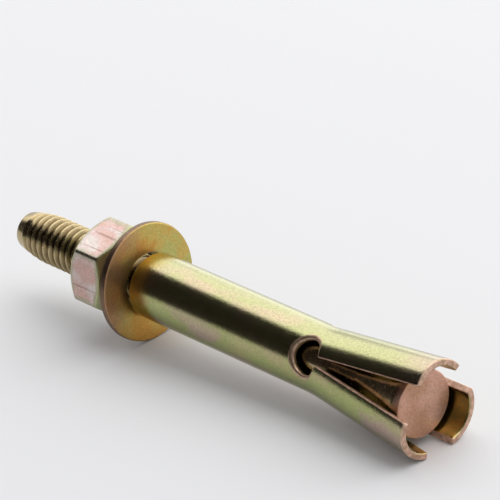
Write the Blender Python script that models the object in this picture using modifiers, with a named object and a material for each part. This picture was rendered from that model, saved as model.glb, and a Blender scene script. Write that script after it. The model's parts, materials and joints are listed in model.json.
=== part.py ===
"""Expansion bolt: a stud with a cone head, a slotted and flared sleeve, a flat washer and a hex nut.

Everything is modelled along the bolt's own axis (local +Z, from the thread towards the cone) with the
sleeve's washer end at zero. One empty then lays the whole bolt down, so that it rests on the washer's
rim and on its two lower petals. Sizes are in metres.
"""
import math

import bmesh
import bpy
import numpy as np
from mathutils import Matrix, Vector

# Sleeve
SLEEVE_DIAMETER = 0.0140
SLEEVE_WALL = 0.00145
SLEEVE_LENGTH = 0.0836
SLEEVE_END_ROUNDING = 0.0005
SLOT_WIDTH = 0.0010
HOLE_DIAMETER = 0.0068
HOLE_RIM_ROUNDING = 0.0010
# From the middle of a hole to the petals' tips
PETAL_LENGTH = 0.0312
PETAL_BEND_LENGTH = 0.0062
# Outward swing in degrees of the top petal, the camera-side one and the far one
PETAL_SWINGS = (6.8, 6.8, 5.4)

# Stud with its cone head
STUD_DIAMETER = 0.0105
STUD_REACH = 0.0414
THREAD_LENGTH = 0.0590
THREAD_PITCH = 0.00194
THREAD_DEPTH = 0.0011
# Flat left on the crests, as a share of the pitch
THREAD_CREST = 0.14
SHANK_DIAMETER = 0.0089
# The thread's free end tapers in a curve down to the tip, which is bevelled
LEAD_LENGTH = 0.0085
LEAD_POWER = 1.45
TIP_DIAMETER = 0.0082
TIP_EDGE = 0.0008
CONE_DIAMETER = 0.0139
CONE_LAND = 0.0022
CONE_LENGTH = 0.0125
CONE_SETBACK = 0.0046
CONE_EDGE = 0.0003

# Washer
WASHER_DIAMETER = 0.0252
WASHER_BORE = 0.0124
WASHER_BORE_ROUNDING = 0.0005
WASHER_THICKNESS = 0.0015
WASHER_ROUNDING = 0.0003
# How much lower the punch leaves the sleeve-side face around the hole
WASHER_DRAW = 0.00004
WASHER_GAP = 0.00094
WASHER_LEAN = 5.5
# Where the leaning washer is nearest the sleeve, in degrees round from the top petal
WASHER_LEAN_SIDE = 140.0

# Nut
NUT_ACROSS_FLATS = 0.0186
NUT_THICKNESS = 0.00945
NUT_GAP = 0.0038
NUT_TURN = 54.0
NUT_CHAMFER_CIRCLE = 0.96
# Slope of the chamfers in degrees, at the washer's end and at the free end
NUT_CHAMFERS = (30.0, 45.0)
NUT_EDGE_ROUNDING = 0.0003

# Smallest gap left between pieces that touch in the real bolt
CLEARANCE = 0.0003

STEPS = 72
STUD_STEPS = 40
PETALS = 3

sleeve_radius = SLEEVE_DIAMETER / 2
sleeve_inner = sleeve_radius - SLEEVE_WALL
petal_step = 2 * math.pi / PETALS
hole_radius = HOLE_DIAMETER / 2
hole_place = SLEEVE_LENGTH - PETAL_LENGTH
bend_start = hole_place - 0.85 * hole_radius
neutral_radius = 0.6 * sleeve_radius
washer_lean = math.radians(WASHER_LEAN)
washer_front = -(sleeve_radius * math.sin(washer_lean) + WASHER_GAP)
nut_front = washer_front - WASHER_THICKNESS - NUT_GAP
nut_back = nut_front - NUT_THICKNESS
cone_end = SLEEVE_LENGTH - CONE_SETBACK


def new_collection(name):
    made = bpy.data.collections.new(name)
    bpy.context.scene.collection.children.link(made)
    return made


def new_object(name, mesh, collection):
    made = bpy.data.objects.new(name, mesh)
    collection.objects.link(made)
    return made


def principled(name, colour, roughness):
    made = bpy.data.materials.new(name)
    made.use_nodes = True
    shader = made.node_tree.nodes["Principled BSDF"]
    shader.inputs["Base Color"].default_value = (*colour, 1.0)
    shader.inputs["Metallic"].default_value = 1.0
    shader.inputs["Roughness"].default_value = roughness
    return made


def arc(centre_r, centre_z, radius, start, end, count):
    """Points of a quarter round in the profile plane, angles in degrees."""
    turns = np.radians(np.linspace(start, end, count))
    return [(centre_r + radius * math.cos(t), centre_z + radius * math.sin(t)) for t in turns]


def turned(name, profile, collection, steps=STEPS, closed=True):
    """A body of revolution: the profile stands at +X and the Screw modifier spins it about Z."""
    mesh = bpy.data.meshes.new(name)
    bm = bmesh.new()
    made = [bm.verts.new((radius, 0.0, height)) for radius, height in profile]
    pairs = list(zip(made, made[1:]))
    if closed and min(radius for radius, _ in profile) > 0.0:
        pairs.append((made[-1], made[0]))
    for first, second in pairs:
        bm.edges.new((first, second))
    bm.to_mesh(mesh)
    bm.free()
    body = new_object(name, mesh, collection)
    screw = body.modifiers.new("Turn", "SCREW")
    screw.axis = "Z"
    screw.angle = 2 * math.pi
    screw.steps = steps
    screw.render_steps = steps
    screw.use_merge_vertices = True
    screw.merge_threshold = 0.000001
    return body


def cut(body, cutter, operation="DIFFERENCE"):
    boolean = body.modifiers.new(cutter.name, "BOOLEAN")
    boolean.operation = operation
    boolean.solver = "EXACT"
    boolean.object = cutter


def as_cutter(cutter):
    cutter.hide_render = True
    cutter.display_type = "WIRE"


def settle_modifiers(body):
    """Turns the modifier stack into plain mesh, so that the petals can be bent."""
    depsgraph = bpy.context.evaluated_depsgraph_get()
    mesh = bpy.data.meshes.new_from_object(body.evaluated_get(depsgraph))
    body.modifiers.clear()
    body.data = mesh


def finish_body(body, material, angle=35.0):
    body.data.materials.clear()
    body.data.materials.append(material)
    for polygon in body.data.polygons:
        polygon.use_smooth = True
    body.data.set_sharp_from_angle(angle=math.radians(angle))


def petal_frame(points):
    """Which petal each point belongs to, and its place in that petal's own upright frame."""
    angle = np.arctan2(points[:, 1], points[:, 0])
    petal = np.round(angle / petal_step).astype(int) % PETALS
    turn = petal * petal_step
    out = points[:, 0] * np.cos(turn) + points[:, 1] * np.sin(turn)
    side = -points[:, 0] * np.sin(turn) + points[:, 1] * np.cos(turn)
    return petal, turn, out, side


def bend_petals(points):
    """Bends each petal outward as a short curved beam beside the holes, straight from there on."""
    petal, turn, out, side = petal_frame(points)
    swing = np.radians(np.array(PETAL_SWINGS))[petal]
    along = points[:, 2]
    run = np.clip(along - bend_start, 0.0, PETAL_BEND_LENGTH)
    tilt = swing * run / PETAL_BEND_LENGTH
    curve_radius = PETAL_BEND_LENGTH / swing
    beyond = np.clip(along - bend_start - PETAL_BEND_LENGTH, 0.0, None)
    before = np.minimum(along, bend_start)
    middle_z = before + curve_radius * np.sin(tilt) + beyond * np.cos(tilt)
    middle_out = neutral_radius + curve_radius * (1 - np.cos(tilt)) + beyond * np.sin(tilt)
    height = out - neutral_radius
    new_out = middle_out + height * np.cos(tilt)
    new_z = middle_z - height * np.sin(tilt)
    x = new_out * np.cos(turn) - side * np.sin(turn)
    y = new_out * np.sin(turn) + side * np.cos(turn)
    return np.stack([x, y, new_z], axis=1)


def make_sleeve(collection, cutters, material):
    rounding = SLEEVE_END_ROUNDING
    tip_edge = rounding / 2
    bend_rings = np.linspace(bend_start, bend_start + PETAL_BEND_LENGTH, 9)
    rings = [hole_place - 1.6 * hole_radius, *bend_rings]
    profile = arc(sleeve_radius - tip_edge, SLEEVE_LENGTH - tip_edge, tip_edge, 90, 0, 4)
    profile += [(sleeve_radius, z) for z in reversed(rings)]
    profile += arc(sleeve_radius - rounding, rounding, rounding, 0, -90, 5)
    profile += arc(sleeve_inner + tip_edge, tip_edge, tip_edge, -90, -180, 4)
    profile += [(sleeve_inner, z) for z in rings]
    profile += arc(sleeve_inner + tip_edge, SLEEVE_LENGTH - tip_edge, tip_edge, 180, 90, 4)
    sleeve = turned("expansion_sleeve", profile, collection)
    for number in range(PETALS):
        angle = (number + 0.5) * petal_step
        mouth = sleeve_radius + 0.1 * HOLE_RIM_ROUNDING
        rim = arc(hole_radius + HOLE_RIM_ROUNDING, mouth - HOLE_RIM_ROUNDING, HOLE_RIM_ROUNDING, 95, 180, 6)
        bottom = sleeve_inner / 3
        top = mouth + HOLE_RIM_ROUNDING
        outline = [(0.0, top), (rim[0][0], top), *rim, (hole_radius, bottom), (0.0, bottom)]
        drill = turned(f"hole_cutter_{number + 1}", outline, cutters, 40)
        drill.matrix_world = (
            Matrix.Rotation(angle, 4, "Z")
            @ Matrix.Translation((0.0, 0.0, hole_place))
            @ Matrix.Rotation(math.pi / 2, 4, "Y")
        )
        as_cutter(drill)
        cut(sleeve, drill)
        reach = sleeve_radius * 1.2
        long = SLEEVE_LENGTH * 1.05 - hole_place
        saw_mesh = bpy.data.meshes.new(f"slot_cutter_{number + 1}")
        bm = bmesh.new()
        bmesh.ops.create_cube(bm, size=1.0)
        bmesh.ops.scale(bm, verts=bm.verts, vec=(reach, SLOT_WIDTH, long))
        bmesh.ops.translate(bm, verts=bm.verts, vec=(reach / 2 + bottom, 0.0, hole_place + long / 2))
        bm.to_mesh(saw_mesh)
        bm.free()
        saw = new_object(saw_mesh.name, saw_mesh, cutters)
        saw.matrix_world = Matrix.Rotation(angle, 4, "Z")
        as_cutter(saw)
        cut(sleeve, saw)
    settle_modifiers(sleeve)
    mesh = sleeve.data
    points = np.empty(len(mesh.vertices) * 3)
    mesh.vertices.foreach_get("co", points)
    points = bend_petals(points.reshape(-1, 3))
    mesh.vertices.foreach_set("co", points.ravel())
    mesh.update()
    finish_body(sleeve, material)
    return sleeve


def lead_radius(heights):
    """The thread's outside: it swells from the tip in a long curve until it is full."""
    shares = np.clip((heights + STUD_REACH - TIP_EDGE) / (LEAD_LENGTH - TIP_EDGE), 0.0, 1.0)
    tip = TIP_DIAMETER / 2
    return tip + (STUD_DIAMETER / 2 - tip) * (1 - (1 - shares) ** LEAD_POWER)


def make_thread(start, stop, collection):
    """Winds one pitch of the thread's section up the stud, between a ring at start and one at stop.

    The winding overruns both rings, so points beyond a ring are moved onto it. The groove fades out
    over its last turn, and the lead's curve cuts the crests down toward the tip.
    """
    radius = STUD_DIAMETER / 2
    low = start - THREAD_PITCH
    crest = THREAD_PITCH * THREAD_CREST
    section = [
        (radius, low),
        (radius, low + crest),
        (radius - THREAD_DEPTH, low + (crest + THREAD_PITCH) / 2),
        (radius, low + THREAD_PITCH),
    ]
    thread = turned("thread", section, collection, STUD_STEPS, closed=False)
    winding = thread.modifiers["Turn"]
    winding.screw_offset = THREAD_PITCH
    winding.iterations = math.ceil((stop - low) / THREAD_PITCH)
    settle_modifiers(thread)
    mesh = thread.data
    points = np.empty(len(mesh.vertices) * 3)
    mesh.vertices.foreach_get("co", points)
    points = points.reshape(-1, 3)
    out = np.hypot(points[:, 0], points[:, 1])
    points[:, 2] = np.clip(points[:, 2], start, stop)
    fade = np.clip((stop - points[:, 2]) / THREAD_PITCH, 0.0, 1.0)
    wanted = np.minimum(lead_radius(points[:, 2]), radius - (radius - out) * fade)
    points[:, :2] *= (wanted / out)[:, None]
    mesh.vertices.foreach_set("co", points.ravel())
    return thread


def join(name, pieces, collection):
    """One closed body from pieces whose open ends meet ring on ring."""
    mesh = bpy.data.meshes.new(name)
    bm = bmesh.new()
    for piece in pieces:
        settle_modifiers(piece)
        bm.from_mesh(piece.data)
        bpy.data.objects.remove(piece)
    bmesh.ops.remove_doubles(bm, verts=bm.verts, dist=0.000001)
    bmesh.ops.dissolve_degenerate(bm, edges=bm.edges, dist=0.000001)
    bmesh.ops.recalc_face_normals(bm, faces=bm.faces)
    bm.to_mesh(mesh)
    bm.free()
    return new_object(name, mesh, collection)


def make_stud(collection, material):
    radius = STUD_DIAMETER / 2
    shank = SHANK_DIAMETER / 2
    cone = CONE_DIAMETER / 2
    tip = -STUD_REACH
    thread_end = tip + THREAD_LENGTH
    start = tip + TIP_EDGE
    # The groove is cut as far as it can be seen, two turns into the sleeve
    stop = 2 * THREAD_PITCH
    head = [
        (0.0, cone_end),
        (cone - CONE_EDGE, cone_end),
        (cone, cone_end - CONE_EDGE),
        (cone, cone_end - CONE_LAND),
        (shank, cone_end - CONE_LAND - CONE_LENGTH),
        (shank, thread_end + (radius - shank)),
        (radius, thread_end),
        (radius, stop),
    ]
    end = [(TIP_DIAMETER / 2, start), (TIP_DIAMETER / 2 - TIP_EDGE, tip), (0.0, tip)]
    pieces = [turned(f"stud_{number}", profile, collection, STUD_STEPS, closed=False)
              for number, profile in enumerate((head, end))]
    stud = join("stud_bolt", [*pieces, make_thread(start, stop, collection)], collection)
    finish_body(stud, material)
    return stud


def make_washer(collection, material):
    outer = WASHER_DIAMETER / 2
    inner = WASHER_BORE / 2
    edge = WASHER_ROUNDING
    half = WASHER_THICKNESS / 2
    # The flat that a fixed plate lies on begins just outside the sleeve
    seat = sleeve_radius + 0.0010
    profile = [(seat, half)]
    profile += arc(outer - edge, half - edge, edge, 90, 0, 3)
    profile += arc(outer - edge, -half + edge, edge, 0, -90, 3)
    hole_edge = WASHER_BORE_ROUNDING
    profile += arc(inner + hole_edge, -half + hole_edge, hole_edge, -90, -180, 3)
    profile += arc(inner + hole_edge, half - WASHER_DRAW - hole_edge, hole_edge, 180, 90, 3)
    washer = turned("flat_washer", profile, collection)
    settle_modifiers(washer)
    finish_body(washer, material)
    side = math.radians(WASHER_LEAN_SIDE)
    hinge = Vector((-math.sin(side), math.cos(side), 0.0))
    centre = Vector((0.0, 0.0, washer_front - half))
    washer.matrix_local = Matrix.Translation(centre) @ Matrix.Rotation(-washer_lean, 4, hinge)
    return washer


def make_nut(collection, cutters, material):
    flat = NUT_ACROSS_FLATS / 2
    corner = flat / math.cos(math.pi / 6)
    circle = flat * NUT_CHAMFER_CIRCLE
    reach = corner * 1.05
    washer_side, free_side = [(reach - circle) * math.tan(math.radians(slope)) for slope in NUT_CHAMFERS]
    mesh = bpy.data.meshes.new("hex_nut")
    bm = bmesh.new()
    bmesh.ops.create_cone(
        bm, cap_ends=True, segments=6, radius1=corner, radius2=corner, depth=NUT_THICKNESS * 1.2
    )
    bm.verts.ensure_lookup_table()
    first = bm.verts[0].co
    turn = math.radians(NUT_TURN) - math.atan2(first.y, first.x)
    bmesh.ops.rotate(bm, verts=bm.verts, cent=(0, 0, 0), matrix=Matrix.Rotation(turn, 3, "Z"))
    bm.to_mesh(mesh)
    bm.free()
    nut = new_object("hex_nut", mesh, collection)
    half = NUT_THICKNESS / 2
    bevel = nut.modifiers.new("Corner rounding", "BEVEL")
    bevel.width = NUT_EDGE_ROUNDING
    bevel.segments = 2
    bevel.limit_method = "ANGLE"
    bevel.angle_limit = math.radians(50)
    chamfer_profile = [
        (0.0, half),
        (circle, half),
        (reach, half - washer_side),
        (reach, -half + free_side),
        (circle, -half),
        (0.0, -half),
    ]
    chamfer = turned("nut_chamfer_cutter", chamfer_profile, cutters, 96)
    bore = STUD_DIAMETER / 2 + CLEARANCE
    sink = bore + 0.0006
    bore_profile = [
        (0.0, half * 1.3),
        (sink + half * 0.3, half * 1.3),
        (sink, half),
        (bore, half - 0.0006),
        (bore, -half + 0.0006),
        (sink, -half),
        (sink + half * 0.3, -half * 1.3),
        (0.0, -half * 1.3),
    ]
    drill = turned("nut_bore_cutter", bore_profile, cutters, 64)
    middle = Vector((0.0, 0.0, (nut_front + nut_back) / 2))
    nut.location = middle
    for cutter in (chamfer, drill):
        cutter.location = middle
        as_cutter(cutter)
    cut(nut, chamfer, "INTERSECT")
    cut(nut, drill)
    settle_modifiers(nut)
    finish_body(nut, material, 25.0)
    return nut


def local_points(body):
    points = np.empty(len(body.data.vertices) * 3)
    body.data.vertices.foreach_get("co", points)
    matrix = np.array(body.matrix_local)
    return points.reshape(-1, 3) @ matrix[:3, :3].T + matrix[:3, 3]


def washer_rim():
    """Points round both outer edges of the leaning washer, in the bolt's frame."""
    side = math.radians(WASHER_LEAN_SIDE)
    hinge = Vector((-math.sin(side), math.cos(side), 0.0))
    lean = np.array(Matrix.Rotation(-washer_lean, 3, hinge))
    turns = np.linspace(0, 2 * np.pi, 721)
    outer = WASHER_DIAMETER / 2
    half = WASHER_THICKNESS / 2
    rings = []
    for radius, height in ((outer, half - WASHER_ROUNDING), (outer, WASHER_ROUNDING - half)):
        rings.append(np.stack([radius * np.cos(turns), radius * np.sin(turns), np.full(721, height)], axis=1))
    return np.concatenate(rings) @ lean.T + np.array([0.0, 0.0, washer_front - half])


def resting_pose(sleeve):
    """Finds the roll and pitch that set the washer's rim and the two lower petals on the floor."""
    points = local_points(sleeve)
    far = points[points[:, 2] > SLEEVE_LENGTH - 0.004]
    petal = petal_frame(far)[0]
    groups = (washer_rim(), far[petal == 1], far[petal == 2])
    lay = Matrix(((0.0, 0.0, 1.0), (0.0, -1.0, 0.0), (1.0, 0.0, 0.0)))
    roll = 0.0
    pitch = 0.0
    for _ in range(30):
        turn = np.array(Matrix.Rotation(pitch, 3, "Y") @ lay @ Matrix.Rotation(roll, 3, "Z"))
        lowest = [group[np.argmin(group @ turn[2])] @ turn.T for group in groups]
        rim, near, away = lowest
        roll -= (near[2] - away[2]) / (near[1] - away[1])
        pitch += ((near[2] + away[2]) / 2 - rim[2]) / ((near[0] + away[0]) / 2 - rim[0])
    return Matrix.Rotation(pitch, 4, "Y") @ lay.to_4x4() @ Matrix.Rotation(roll, 4, "Z")


def main():
    for existing in list(bpy.data.objects):
        bpy.data.objects.remove(existing)
    parts = new_collection("expansion_bolt")
    cutters = new_collection("expansion_bolt_cutters")
    rest = new_object("bolt_rest", None, parts)
    sleeve = make_sleeve(parts, cutters, principled("sleeve_zinc", (0.66, 0.62, 0.38), 0.28))
    stud = make_stud(parts, principled("stud_zinc", (0.62, 0.50, 0.26), 0.30))
    washer = make_washer(parts, principled("washer_zinc", (0.68, 0.54, 0.26), 0.26))
    nut = make_nut(parts, cutters, principled("nut_zinc", (0.74, 0.62, 0.55), 0.32))
    bodies = (sleeve, stud, washer, nut)
    pose = resting_pose(sleeve)
    bpy.context.view_layer.update()
    depsgraph = bpy.context.evaluated_depsgraph_get()
    corners = []
    for body in bodies:
        shape = body.evaluated_get(depsgraph).to_mesh()
        corners.extend(pose @ body.matrix_local @ vertex.co for vertex in shape.vertices)
    cloud = np.array(corners)
    low = cloud.min(axis=0)
    high = cloud.max(axis=0)
    shift = Vector((-(low[0] + high[0]) / 2, -(low[1] + high[1]) / 2, -low[2]))
    for body in bodies:
        body.parent = rest
    rest.matrix_world = Matrix.Translation(shift) @ pose


main()
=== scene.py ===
"""Expansion bolt: the looks of its slotted sleeve, threaded stud, loose washer and hexagon nut.

Each piece is a surface of two parameters worked out with numpy in the bolt's own frame: +Z runs along
the bolt from the thread to the cone, zero is the sleeve's washer end, and +X is the top petal's crown.
"""
import json
import math

import bmesh
import bpy
import numpy as np
from bpy.props import FloatProperty, FloatVectorProperty, PointerProperty
from mathutils import Matrix, Vector


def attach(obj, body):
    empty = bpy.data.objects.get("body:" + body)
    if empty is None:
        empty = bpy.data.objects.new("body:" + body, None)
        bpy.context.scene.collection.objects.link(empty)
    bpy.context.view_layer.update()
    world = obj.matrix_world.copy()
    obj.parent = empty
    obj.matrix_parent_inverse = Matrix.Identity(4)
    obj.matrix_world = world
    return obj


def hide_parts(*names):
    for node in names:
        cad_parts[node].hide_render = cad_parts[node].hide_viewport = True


bl_info = {
    "name": "Expansion bolt",
    "version": (1, 0, 0),
    "blender": (4, 5, 0),
    "location": "3D View > Sidebar > Bolt",
    "description": "Makes a zinc-plated expansion bolt with a slotted sleeve",
    "category": "Add Mesh",
}

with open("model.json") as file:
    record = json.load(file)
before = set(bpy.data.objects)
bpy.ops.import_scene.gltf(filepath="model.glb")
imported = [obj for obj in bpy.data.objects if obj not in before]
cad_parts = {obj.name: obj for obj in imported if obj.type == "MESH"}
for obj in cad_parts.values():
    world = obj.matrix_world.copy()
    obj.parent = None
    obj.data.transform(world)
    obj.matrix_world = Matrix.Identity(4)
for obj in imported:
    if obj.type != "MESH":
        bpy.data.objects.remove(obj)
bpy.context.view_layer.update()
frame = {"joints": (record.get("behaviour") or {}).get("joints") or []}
JOINTS = {joint["name"]: joint for joint in frame["joints"]}
BOLT_AXIS = Vector(JOINTS["stud_slide"]["axis"]).normalized()
NUT_MIDDLE = Vector(JOINTS["nut_turn"]["pos_m"])
WASHER_MIDDLE = Vector(JOINTS["washer_spin"]["pos_m"])
WASHER_NORMAL = Vector(JOINTS["washer_spin"]["axis"]).normalized()
PETALS = 3
SECTOR = math.pi / PETALS  # half of one petal's share of the full turn
MILLIMETRES = 1000.0  # in one metre
ROUND_COLUMNS = 97  # columns round the stud, the last on the first
WASHER_COLUMNS = 193  # columns round the washer, the last on the first
WASHER_RINGS = 12  # rings of points across each face of the washer
WASHER_MARGIN = 0.0009  # from the washer's edges to the nearest of those rings
FILLET_POINTS = 10  # points round the outer edge of a hole or a saw cut
ARC_SHARE = 0.46  # most that an arc takes of the shorter side beside it
EASE_SHARES = (0.12, 0.1)  # most that the step after an arc takes of its radius and of that side
MERGE_DISTANCE = 0.0000004  # points closer than this become one
SHORTEST_EDGE = 0.0000001  # edges shorter than this go
TIP_POINTS = 7  # points round the edges of a petal's tip
HOLE_RIM_CUT, HOLE_WALL_CUT = 0.8, 0.55  # cut mark of a hole's rounded rim and of its wall
BEAM_SHARE = 0.6  # radius of the line on which a petal bends, over the tube's radius
BEND_START = 0.85  # from the start of the bend to the hole's middle, over the hole's radius
RIM_FULL = math.radians(62)  # turn from the saw cut's side at which a hole's rim is fully rounded
THREAD_END = 0.0006  # from the thread's end to the shank's first ring
THREAD_FADE = 0.0022  # length over which the groove runs out there
LEAD_FADE_START = 0.22  # share of the lead at which the groove begins
LEAD_FADE_LENGTH = 0.42  # share of the lead over which it grows to full depth
SHANK_FILLET, LAND_FILLET = 0.0010, 0.0006  # rounding where the cone starts and where it ends
FACE_FLAT = 0.55  # share of the cone head's radius at which its end face starts to sink
FACE_HOLLOW = 0.00002  # how far that face has sunk in its middle
FACE_ROUNDING = 0.0030  # rounding where it starts to sink
FACE_SIDE = 0.0006  # how far down the side the face's colour reaches
CHAMFER_STEP = 0.0006  # from the nut's face circle out to the point that gives the chamfer's direction
SINK_EDGE = 0.00008  # rounding between the nut's countersink and its face
NUT_GROOVE = 0.0005  # depth of the groove in the nut's bore
NUT_GROOVE_FADE = 0.0004  # length over which it runs out at both ends
CORNER_BORDER = 0.0014  # width of the tinted border of a flat beside a corner
END_BORDER = 0.0012  # width of that border beside a chamfer
FLOOR_HALF = 6.0  # half of the floor's side
CARD_ENDS = (-2.6, 2.2)  # both ends of the dark card along X
CARD_RADIUS = 0.62  # radius of the card's quarter circle
CARD_Y, CARD_Z = -0.06, 0.002  # centre of that circle
LIGHTS = (  # name, place, point aimed at, size, and the setting that holds the level
    ("softbox", (-0.6, 1.8, 1.86), (-0.6, 1.8, 0.0), (6.9, 3.72), "box_level"),
    ("back_light", (-0.6, 3.8, 0.95), (-0.6, 0.0, 0.95), (6.9, 1.9), "back_level"),
)


def length(name, description, default):
    return FloatProperty(name=name, description=description, default=default, unit="LENGTH", precision=5)


def angle(name, description, degrees):
    return FloatProperty(name=name, description=description, default=math.radians(degrees), unit="ROTATION")


def colour(name, description, default):
    return FloatVectorProperty(
        name=name, description=description, default=default, subtype="COLOR", size=3, min=0.0, max=1.0
    )


class BoltPlace(bpy.types.PropertyGroup):
    roll: angle("Roll", "Turn of the top petal about the bolt's axis, from straight up", -3.1786)
    nut_distance: length("Nut distance", "From the sleeve's washer end back to the nut's middle", 0.011636)


class SleeveSettings(bpy.types.PropertyGroup):
    diameter: length("Diameter", "Outside of the tube", 0.0140)
    wall: length("Wall", "Thickness of the tube", 0.00145)
    length: length("Length", "Whole tube before its petals are bent", 0.0836)
    petal_length: length("Petal length", "From the middle of a hole to the petals' tips", 0.0312)
    hole: length("Hole", "Diameter of the drilled holes", 0.0068)
    rim: length("Hole rim", "Rounding of the holes' outer edge", 0.0010)
    slot: length("Slot", "Width of the saw cuts", 0.0010)
    slot_edge: length("Slot edge", "Rounding of the saw cuts' outer edges", 0.00022)
    inner_edge: length("Inner edge", "Rounding of every edge inside the tube", 0.00012)
    corner: length("Corner", "Rounding where a saw cut enters its hole", 0.0004)
    end: length("End rounding", "Rounding of the washer end's outer edge", 0.0005)
    tip: length("Tip rounding", "Rounding of the petals' tips", 0.0004)
    bend: length("Bend length", "Length over which the petals curve outward", 0.0062)
    swings: FloatVectorProperty(
        name="Swings",
        description="Outward swing of the top, camera-side and far petals",
        default=[math.radians(t) for t in (6.8, 6.8, 5.4)],
        size=3,
        unit="ROTATION",
    )
    # Straw and cream are a painted highlight: they make the top paler where the highlight falls. Olive and
    # gold are the film below it, and pink is both patches there and painted sheen along the underside.
    highlight_straw: colour("Straw", "Pale yellow on top, where the film is thin", (0.40, 0.395, 0.195))
    highlight_cream: colour("Cream", "Pinkish patches on top", (0.46, 0.38, 0.24))
    olive: colour("Olive", "Green of the thicker film below", (0.37, 0.41, 0.15))
    gold: colour("Gold", "Yellow of the thicker film below", (0.42, 0.40, 0.17))
    pink: colour("Pink", "Pink patches below", (0.46, 0.34, 0.27))
    # Amber is a painted reflection of the golden washer on the sleeve's end beside it; it also tints patches
    # of the petals' inner wall.
    amber: colour("Amber", "Golden end beside the washer", (0.46, 0.34, 0.09))
    cut: colour("Cut faces", "Sawn and faced edges", (0.70, 0.47, 0.36))
    burnt: colour("Burnt", "Darker patches of the cut edges", (0.48, 0.31, 0.22))
    inside: colour("Inside", "Inner wall of the petals", (0.37, 0.34, 0.11))


class StudSettings(bpy.types.PropertyGroup):
    diameter: length("Diameter", "Outside of the thread", 0.0105)
    reach: length("Reach", "From the sleeve's washer end back to the tip", 0.0414)
    thread: length("Thread length", "From the tip to the thread's end", 0.0590)
    pitch: length("Pitch", "Distance from crest to crest", 0.00194)
    depth: length("Thread depth", "From crest to root", 0.00110)
    phase: length("Phase", "Shift of the crests along the bolt", 0.00014)
    shank: length("Shank", "Diameter of the plain part", 0.0089)
    lead: length("Lead", "Length of the tapered free end", 0.0085)
    lead_power: FloatProperty(name="Lead power", description="How round the taper is", default=1.45)
    tip: length("Tip", "Diameter of the free end before its bevel", 0.0082)
    tip_edge: length("Tip bevel", "Bevel of the free end", 0.0008)
    cone: length("Cone", "Diameter of the cone head", 0.0139)
    cone_land: length("Cone land", "Straight part of the cone head", 0.0022)
    cone_length: length("Cone length", "Length of the taper", 0.0125)
    cone_setback: length("Cone setback", "Cone head's end face below the unbent tips", 0.0046)
    cone_edge: length("Cone edge", "Rounding of the cone head's rim", 0.0003)
    brass: colour("Brass", "Gold of the film", (0.49, 0.38, 0.21))
    olive: colour("Olive", "Green of the film", (0.36, 0.31, 0.16))
    pink: colour("Pink", "Pink of the cone head's face", (0.72, 0.44, 0.34))
    amber: colour("Amber", "Darker patches of the cone head's face", (0.50, 0.28, 0.16))
    # Crest is a painted highlight on the thread's crests, and root is painted shade in its roots.
    crest: colour("Crest", "Paler film on the thread's crests", (0.52, 0.42, 0.24))
    root: colour("Root", "Darker film in the thread's roots", (0.20, 0.145, 0.07))


class WasherSettings(bpy.types.PropertyGroup):
    diameter: length("Diameter", "Outside", 0.0252)
    bore: length("Bore", "Hole", 0.0124)
    thickness: length("Thickness", "Sheet thickness", 0.0015)
    rolled_edge: length("Rolled edge", "Rounding of the rim toward the sleeve", 0.00055)
    hole_edge: length("Hole edge", "Rounding of the hole toward the sleeve", 0.00024)
    sharp_edge: length("Sharp edge", "Rounding toward the nut", 0.00014)
    dish: length("Dish", "How far the sheet waves", 0.00004)
    gold: colour("Gold", "Main colour of the film", (0.57, 0.42, 0.12))
    olive: colour("Olive", "Green patches", (0.50, 0.46, 0.15))
    orange: colour("Orange", "Orange patches", (0.60, 0.33, 0.08))
    pink: colour("Pink", "Pink patches", (0.46, 0.26, 0.16))
    rim: colour("Rim", "Punched rim", (0.20, 0.13, 0.085))
    # Painted highlight along the hole's rounded edge toward the sleeve.
    worn: colour("Worn", "Pale rounded edge of the hole", (0.62, 0.56, 0.48))


class NutSettings(bpy.types.PropertyGroup):
    across_flats: length("Across flats", "Width over two flats", 0.0186)
    thickness: length("Thickness", "Height of the nut", 0.00945)
    turn: angle("Turn", "Angle of one corner from the top petal's crown", 54.0)
    face_share: FloatProperty(name="Face share", description="Face circle over flats", default=0.96)
    washer_slope: angle("Washer side", "Slope of the chamfer beside the washer", 30.0)
    free_slope: angle("Free side", "Slope of the chamfer on the free side", 45.0)
    corner: length("Corner rounding", "Rounding between two flats", 0.0009)
    side: length("Side rounding", "Rounding between a flat and the chamfer", 0.0006)
    face_edge: length("Face edge", "Rounding between the face and the chamfer", 0.00012)
    bore: length("Bore", "Diameter inside the thread's crests", 0.0111)
    sink: length("Countersink", "Width of the countersink", 0.0006)
    pink: colour("Pink", "Main colour of the film", (0.60, 0.45, 0.41))
    pale: colour("Pale", "Pale patches", (0.62, 0.55, 0.51))
    salmon: colour("Salmon", "Deeper patches", (0.58, 0.39, 0.34))
    line: colour("Line", "Marks left by drawing the bar", (0.26, 0.16, 0.13))
    border: colour("Border", "Flats beside their edges", (0.40, 0.38, 0.27))
    olive: colour("Olive", "Chamfers and edges", (0.42, 0.44, 0.24))


class StageSettings(bpy.types.PropertyGroup):
    floor: colour("Floor", "Colour of the floor", (0.89, 0.89, 0.9))
    backdrop: colour("Backdrop", "Colour seen beyond the floor", (0.84, 0.84, 0.855))
    box_level: FloatProperty(name="Softbox level", description="Brightness of the softbox", default=1.2)
    back_level: FloatProperty(name="Back level", description="Brightness of the light behind", default=1.2)
    fill_level: FloatProperty(name="Fill level", description="Brightness of the room", default=0.48)
    camera_place: FloatVectorProperty(
        name="Camera", description="Place of the camera", default=(0.47872, -0.3707, 0.30322), subtype="XYZ"
    )
    camera_aim: FloatVectorProperty(
        name="Aim", description="Unit direction the camera looks in",
        default=(-0.71155, 0.56498, -0.41773), subtype="XYZ",
    )
    camera_right: FloatVectorProperty(
        name="Right", description="Unit direction of the picture's right side",
        default=(0.66109, 0.73972, -0.12561), subtype="XYZ",
    )
    lens: FloatProperty(name="Lens", description="Focal length in mm on a 36 mm sensor", default=239.9)


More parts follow.
